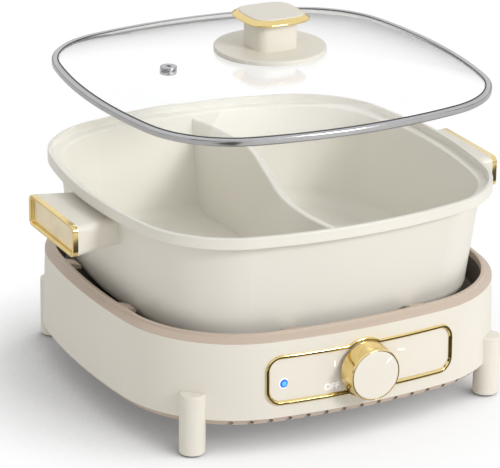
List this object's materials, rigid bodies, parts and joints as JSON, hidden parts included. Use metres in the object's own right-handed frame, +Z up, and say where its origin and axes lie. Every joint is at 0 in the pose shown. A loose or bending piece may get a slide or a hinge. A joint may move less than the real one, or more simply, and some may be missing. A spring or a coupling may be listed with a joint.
{
  "type": "electric hot pot",
  "caption": "Square-round electric hot pot: heated base with a control knob, lift-out pot with a curved dividing wall and side handles, and a loose glass lid.",
  "frame": {"origin": "on the table, under the centre of the object's bounding box", "axes": "+X to the right along the line of the two pot handles, -Y towards the user and the control knob, +Z up"},
  "size_m": [0.37, 0.338, 0.2922],
  "materials": {
    "cream_plastic": "fine satin, warm cream",
    "taupe_plastic": "satin taupe",
    "dark_tray": "dark heat-proof enamel",
    "plate_metal": "turned, matt",
    "inner_steel": "plain sheet",
    "sensor_metal": "satin",
    "gold": "polished gold tone",
    "panel_cream": "glossy cream",
    "lamp": "translucent blue",
    "black_plastic": "moulded, matt",
    "board_green": "laminate",
    "wire": "insulated",
    "rubber_pad": "matt",
    "screw_steel": "zinc",
    "pot_coating": "ceramic coat, satin cream",
    "handle_gold": "satin gold",
    "inset_gold": "satin champagne",
    "glass": "clear tempered glass",
    "lid_steel": "polished",
    "silicone": "silicone"
  },
  "bodies": {
    "base": {"base_housing": "cream_plastic", "bottom_cover": "taupe_plastic", "foot_front_left": "cream_plastic", "foot_front_right": "cream_plastic", "foot_rear_left": "cream_plastic", "foot_rear_right": "cream_plastic", "foot_pads": "rubber_pad", "foot_screws": "screw_steel", "cover_screws": "screw_steel", "top_ring": "taupe_plastic", "base_tray": "dark_tray", "heating_plate": "plate_metal", "heater_tube": "inner_steel", "heater_terminals": "inner_steel", "heat_shield": "inner_steel", "sensor_holder": "inner_steel", "limit_thermostat": "black_plastic", "control_bezel": "gold", "control_panel": "panel_cream", "led_lens": "lamp", "led_board": "board_green", "rotary_switch": "black_plastic", "switch_nut": "screw_steel", "control_board": "board_green", "board_parts": "black_plastic", "internal_leads": "wire", "inlet_body": "black_plastic", "inlet_pins": "screw_steel", "inlet_screws": "screw_steel"},
    "sensor": {"sensor_cap": "sensor_metal", "sensor_spring": "inner_steel"},
    "knob": {"knob_skirt": "gold", "knob_face": "panel_cream", "switch_shaft": "inner_steel"},
    "pot": {"pot_shell": "pot_coating", "divider_wall": "pot_coating", "handle_brackets": "plate_metal", "handle_screws": "screw_steel", "handle_left": "cream_plastic", "handle_right": "cream_plastic", "handle_frame_left": "handle_gold", "handle_frame_right": "handle_gold", "handle_panel_left": "inset_gold", "handle_panel_right": "inset_gold"},
    "lid": {"lid_glass": "glass", "lid_band": "lid_steel", "vent_grommet": "lid_steel", "lid_knob_disc": "cream_plastic", "lid_knob_neck": "cream_plastic", "lid_cap_ring": "gold", "lid_cap_top": "cream_plastic", "lid_washer": "silicone", "lid_screw": "screw_steel"}
  },
  "joints": [
    {"name": "pot_lift", "type": "slide", "parent": "base", "child": "pot", "axis": [0, 0, 1], "range_m": [0, 0.12]},
    {"name": "lid_lift", "type": "slide", "parent": "pot", "child": "lid", "axis": [0, 0, 1], "range_m": [-0.075, 0.1]},
    {"name": "knob_turn", "type": "hinge", "parent": "base", "child": "knob", "pos_m": [0, -0.15332, 0.0582], "axis": [0, -1, 0], "range_deg": [-70, 160]},
    {"name": "sensor_travel", "type": "slide", "parent": "base", "child": "sensor", "axis": [0, 0, 1], "range_m": [-0.0015, 0], "stiffness_N_per_m": 300, "springref_m": 0.002, "deforming": ["sensor_spring"]}
  ]
}
